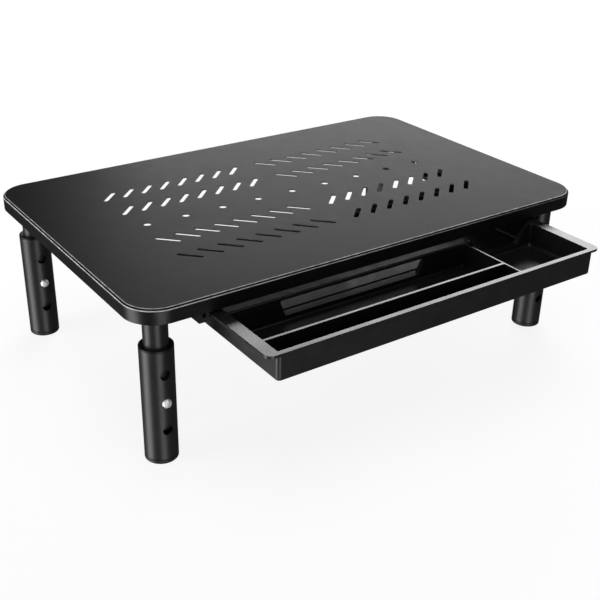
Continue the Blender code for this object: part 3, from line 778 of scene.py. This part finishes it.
def tray_body():
    """The tray's outer shape, a tub with a flange round its rim, before it is hollowed."""
    under = RIM - FLANGE_THICK
    front = tray_low.y + FRONT_LIP
    rear = tray_high.y - REAR_OVERHANG
    side = filleted([(BOTTOM_ROUND * 2, tray_low.z), (0, tray_low.z), (0, under - HAIR)],
                    [0, BOTTOM_ROUND, 0], EDGE_STEPS)
    edge = filleted([(UNDERCUT, under), (0, under), (0, RIM), (UNDERCUT, RIM)],
                    [0, RIM_ROUND, RIM_ROUND, 0], 4)
    tub = [(rounded_outline(-TRAY_HALF + inset, TRAY_HALF - inset, front + inset, rear - inset,
                            BODY_CORNER - inset * 0.9, TRAY_STEPS), z)
           for inset, z in side]
    flange = [(rounded_outline(tray_low.x + inset, tray_high.x - inset, tray_low.y + inset,
                               tray_high.y - inset, FLANGE_CORNER - inset, TRAY_STEPS), z)
              for inset, z in edge]
    return stack(tub + flange)


def cut_pockets(tray):
    for size in ((-POCKET_HALF, LEFT_END, INSIDE_FRONT, PEN_REAR, *CRISP_POCKET),
                 (-POCKET_HALF, LEFT_END, MAIN_FRONT, MAIN_REAR, *CRISP_POCKET),
                 (-POCKET_HALF, POCKET_HALF, BACK_FRONT, BACK_REAR, *SOFT_POCKET),
                 (RIGHT_START, POCKET_HALF, INSIDE_FRONT, MAIN_REAR, *SOFT_POCKET)):
        combine(tray, pocket(*size))


def cut_floor_line(tray):
    end = POCKET_HALF - FLOOR_LINE_END
    front = BACK_FRONT + FLOOR_LINE
    groove = rounded_outline(-end, end, front, front + FLOOR_LINE_WIDTH, FLOOR_LINE_WIDTH / 3, 4)
    levels = [(groove, POCKET_FLOOR - FLOOR_LINE_DEPTH), (groove, POCKET_FLOOR + THROUGH)]
    combine(tray, stack(levels))


def cut_rear_divider(tray):
    """Long window behind the middle compartment, and the notch behind the side one."""
    window = opening((LEFT_END - POCKET_HALF) / 2, WINDOW_HALF_TOP, WINDOW_HALF_BOTTOM,
                     RIM - WINDOW_TOP, RIM - WINDOW_BOTTOM, OPENING_CORNER)
    notch = opening((RIGHT_START + POCKET_HALF) / 2, NOTCH_HALF_TOP, NOTCH_HALF_BOTTOM,
                    RIM + THROUGH, RIM - NOTCH_BOTTOM, 0)
    for outline in (window, notch):
        combine(tray, prism(outline, "Y", MAIN_REAR - THROUGH, BACK_FRONT + THROUGH))


def add_stop_lugs(tray):
    front = tray_low.y + STOP_FROM_FRONT
    for side in (-1, 1):
        outline = rounded_outline(side * STOP_X - STOP_WIDTH / 2, side * STOP_X + STOP_WIDTH / 2,
                                  front, front + STOP_DEPTH, RIM_ROUND, 3)
        lug = stack([(outline, RIM - FLANGE_THICK / 2), (outline, RIM + STOP_HEIGHT)])
        combine(tray, lug, "UNION")


def make_tray():
    tray = finished("drawer_moulding", tray_body(), tray_plastic, "drawer", ["drawer_tray"])
    cut_pockets(tray)
    cut_floor_line(tray)
    cut_rear_divider(tray)
    add_stop_lugs(tray)
    # Faces inside the compartments take the darker copy of the moulding: painted shade.
    tray.data.materials.append(pocket_plastic_shaded)
    for face in tray.data.polygons:
        x, y, z = face.center
        within = abs(x) < POCKET_HALF + HAIR and INSIDE_FRONT - HAIR < y < BACK_REAR + HAIR
        if within and POCKET_FLOOR - HAIR < z < RIM - 2 * RIM_ROUND:
            face.material_index = 1
    smooth_again(tray, angle=25)


make_plate()
for corner_name in CORNERS:
    make_leg(corner_name)
make_tray()


# ---- CAD pieces that keep their own shape ------------------------------------------------------
RAIL_SOFTENING = 0.00025
METAL_SOFTENING = 0.0002


def keep(names, mat, width):
    """Soften the edges of some CAD pieces and give them their finish."""
    for name in names:
        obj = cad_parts[name]
        obj.data.materials.clear()
        obj.data.materials.append(mat)
        mod = obj.modifiers.new("soft_edges", "BEVEL")
        mod.width = width
        mod.segments = 2
        mod.limit_method = "ANGLE"
        mod.angle_limit = math.radians(50)
        mod.harden_normals = False


rail_fixings = [f"{side}_{end}" for side in ("left", "right") for end in ("front", "rear")]
keep(["rail_left", "rail_right"], rail_plastic, RAIL_SOFTENING)
keep(["rail_stud_" + name for name in rail_fixings], zinc_plate, METAL_SOFTENING)
keep(["rail_nut_" + name for name in rail_fixings], zinc_plate, METAL_SOFTENING)
keep(["weld_nut_" + corner for corner in CORNERS], zinc_plate, METAL_SOFTENING)
keep(["leg_plug_" + corner for corner in CORNERS], zinc_plate, METAL_SOFTENING)


# ---- stage -------------------------------------------------------------------------------------
FLOOR_RADIUS = 5.0
COVE_RADIUS = 2.0
WALL_TOP = 7.0


def make_floor():
    """Pale sweep: a floor that turns up into a wall all round, seen only by the camera."""
    profile = filleted([(0, 0), (FLOOR_RADIUS + COVE_RADIUS, 0),
                        (FLOOR_RADIUS + COVE_RADIUS, WALL_TOP)], [0, COVE_RADIUS, 0], 24)
    bm = turned(profile, 128, closed=False)
    bmesh.ops.recalc_face_normals(bm, faces=bm.faces)
    mesh = bpy.data.meshes.new("floor")
    bm.to_mesh(mesh)
    bm.free()
    mesh.shade_smooth()
    floor = bpy.data.objects.new("floor", mesh)
    bpy.context.collection.objects.link(floor)
    mat, tree, shader = surface("pale_floor", 0.9, 0.0)
    shader.inputs["Base Color"].default_value = (0.20, 0.20, 0.20, 1.0)
    shader.inputs["Emission Color"].default_value = (1.0, 1.0, 1.0, 1.0)
    shader.inputs["Emission Strength"].default_value = 0.86
    mesh.materials.append(mat)
    floor.visible_diffuse = False
    floor.visible_glossy = False
    floor.visible_shadow = False
    floor.visible_transmission = False


def softbox(name, direction, distance, width, height, radiance, centre=(0, 0, 0.06)):
    """Rectangular light, out of the camera's sight, facing the object."""
    light = bpy.data.lights.new(name, "AREA")
    light.shape = "RECTANGLE"
    light.size = width
    light.size_y = height
    light.energy = radiance * math.pi * width * height
    obj = bpy.data.objects.new(name, light)
    aim = Vector(direction).normalized()
    obj.location = Vector(centre) + aim * distance
    obj.rotation_euler = aim.to_track_quat("Z", "Y").to_euler()
    obj.visible_camera = False
    bpy.context.collection.objects.link(obj)
    return obj


def make_lights():
    softbox("left_strip", (-0.98, 0.2, -0.1), 1.7, 1.0, 2.8, 3.9)
    softbox("front_strip", (-0.24, -0.97, -0.1), 1.7, 0.8, 2.8, 2.4)
    softbox("back_box", (0.630, 0.693, 0.350), 2.0, 1.6, 1.1, 4.6)
    softbox("overhead", (0.0, -0.1, 1.0), 1.8, 1.6, 1.6, 1.5)
    softbox("pocket_glow", (0, 0, 1), 0.0, 0.218, 0.057, 0.33, (0.009, -0.0335, 0.1125))
    world = bpy.data.worlds.new("studio")
    world.use_nodes = True
    world.node_tree.nodes["Background"].inputs["Color"].default_value = (0.05, 0.05, 0.05, 1)
    world.node_tree.nodes["Background"].inputs["Strength"].default_value = 1.0
    bpy.context.scene.world = world


def make_camera():
    data = bpy.data.cameras.new("camera")
    data.sensor_width = 36.0
    data.lens = 59.06
    data.clip_start = 0.01
    data.clip_end = 50.0
    data.dof.use_dof = False
    camera = bpy.data.objects.new("camera", data)
    camera.location = (-0.39259, -0.53691, 0.38088)
    camera.rotation_euler = tuple(math.radians(a) for a in (62.5531, -1.1181, -34.7683))
    bpy.context.collection.objects.link(camera)
    bpy.context.scene.camera = camera
    bpy.context.scene.view_settings.view_transform = "Standard"


make_floor()
make_lights()
make_camera()
